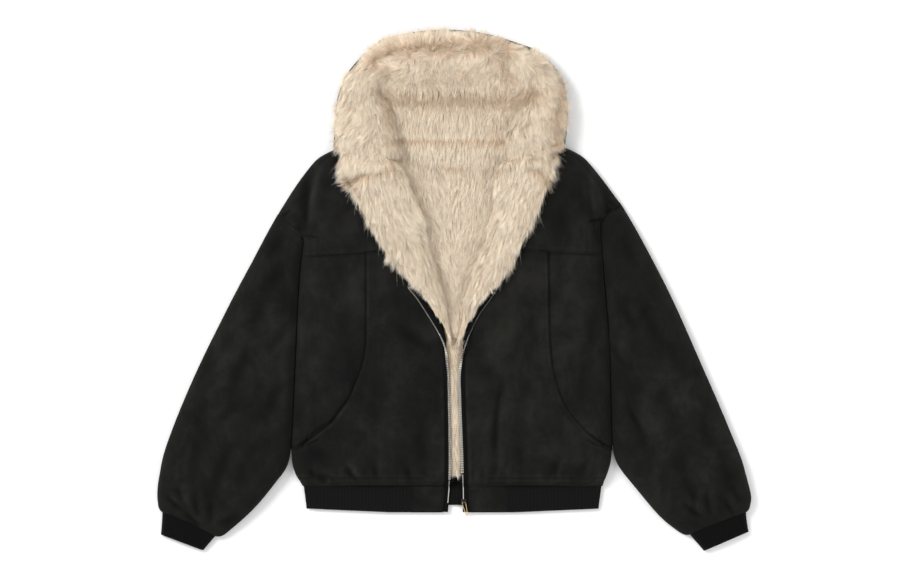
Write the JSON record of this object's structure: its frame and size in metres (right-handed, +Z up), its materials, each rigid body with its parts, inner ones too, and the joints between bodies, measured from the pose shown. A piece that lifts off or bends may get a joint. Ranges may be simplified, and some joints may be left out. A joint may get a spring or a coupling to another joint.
{
  "type": "hooded suede bomber jacket with pile lining, laid flat",
  "caption": "Black suede-look hooded bomber jacket with beige pile lining, open front zip, turned-back fronts, ribbed hem and cuffs, laid flat with its front up.",
  "frame": {"origin": "centre of the bounding box, on the surface that the jacket lies on", "axes": "+Z up out of the jacket's front, +Y from hem to hood, +X to the right as it is seen from above"},
  "size_m": [1.0098, 0.8892, 0.056],
  "materials": {
    "suede": "napped, matt",
    "rib": "ribbed knit, matt",
    "pile": "long soft pile",
    "tape": "woven tape",
    "steel": "satin",
    "brass": "satin"
  },
  "bodies": {
    "jacket": {"back_panel": "suede", "back_lining": "pile", "hem_back": "rib", "front_centre_left": "suede", "front_centre_right": "suede", "front_side_left": "suede", "front_side_right": "suede", "yoke_left": "suede", "yoke_right": "suede", "front_lining_left": "pile", "front_lining_right": "pile", "hem_rib_left": "rib", "hem_rib_right": "rib", "hem_facing_left": "suede", "hem_facing_right": "suede", "sleeve_left": "suede", "sleeve_right": "suede", "cuff_left": "rib", "cuff_right": "rib", "lapel_shell_left": "suede", "lapel_shell_right": "suede", "lapel_fur_left": "pile", "lapel_fur_right": "pile", "hood_shell_left": "suede", "hood_shell_right": "suede", "hood_shell_crown": "suede", "hood_fur_left": "pile", "hood_fur_right": "pile", "hood_fur_crown": "pile", "hood_fur_back": "pile", "zip_tape_left": "tape", "zip_tape_right": "tape", "zip_slider": "steel"},
    "pull": {"zip_pull": "brass"}
  },
  "joints": [
    {"name": "zip_pull_hinge", "type": "hinge", "parent": "jacket", "child": "pull", "pos_m": [0.01578, -0.361, 0.01095], "axis": [-0.9781, -0.2079, 0], "range_deg": [0, 180]}
  ]
}
